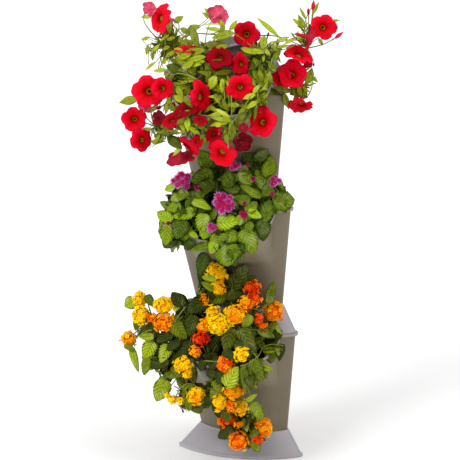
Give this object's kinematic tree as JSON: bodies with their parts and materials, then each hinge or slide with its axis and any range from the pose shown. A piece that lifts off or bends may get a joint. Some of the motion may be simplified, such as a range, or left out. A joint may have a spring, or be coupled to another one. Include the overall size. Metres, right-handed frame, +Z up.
{
  "type": "stackable corner planter tower",
  "caption": "Stacked corner planter: tapered quarter-round pots with bulging front pockets, slanted covers and a flared foot, planted with petunias, ageratum and lantanas.",
  "frame": {"origin": "on the floor under the middle of the foot, where its ribs cross", "axes": "+Z up along the tower, -Y to the curved front with the planting pockets, +Y to the back corner, +X to the right seen from the front"},
  "size_m": [0.3893, 0.2734, 0.8606],
  "materials": {
    "foot_plastic": "satin, with a faint sheen",
    "pot_plastic": "satin silver-grey with a warm tone",
    "cover_plastic": "satin, with a faint sheen",
    "grid_plastic": "matte, dark",
    "soil": "moist, crumbly potting soil",
    "petunia_leaves": "narrow soft yellow-green leaves",
    "petunia_blooms": "velvety red petals with a yellow throat and paler backs",
    "ageratum_leaves": "crinkled, deeply veined mid-green leaves",
    "ageratum_blooms": "fluffy magenta-violet heads with crimson buds",
    "lantana_leaves": "toothed deep green leaves with a slight gloss",
    "lantana_blooms": "small waxy florets from yellow through orange to red-orange"
  },
  "bodies": {
    "foot": {"foot": "foot_plastic"},
    "lower_tier": {"lower_pot": "pot_plastic", "lower_cover": "cover_plastic", "lower_drain_grid": "grid_plastic", "lower_soil": "soil", "lower_left_lantana": "lantana_leaves", "lower_right_lantana": "lantana_leaves"},
    "middle_tier": {"middle_pot": "pot_plastic", "middle_cover": "cover_plastic", "middle_drain_grid": "grid_plastic", "middle_soil": "soil", "middle_left_ageratum": "ageratum_leaves", "middle_right_ageratum": "ageratum_leaves"},
    "upper_tier": {"upper_pot": "pot_plastic", "upper_cover": "cover_plastic", "upper_drain_grid": "grid_plastic", "upper_soil": "soil", "upper_left_petunia": "petunia_leaves", "upper_right_petunia": "petunia_leaves", "neck_left_petunia": "petunia_leaves", "neck_right_petunia": "petunia_leaves"}
  },
  "joints": [
    {"name": "lower_tier_lift", "type": "slide", "parent": "foot", "child": "lower_tier", "axis": [0, 0, 1], "range_m": [0, 0.06]},
    {"name": "middle_tier_lift", "type": "slide", "parent": "lower_tier", "child": "middle_tier", "axis": [0, 0, 1], "range_m": [0, 0.06]},
    {"name": "upper_tier_lift", "type": "slide", "parent": "middle_tier", "child": "upper_tier", "axis": [0, 0, 1], "range_m": [0, 0.06]}
  ]
}
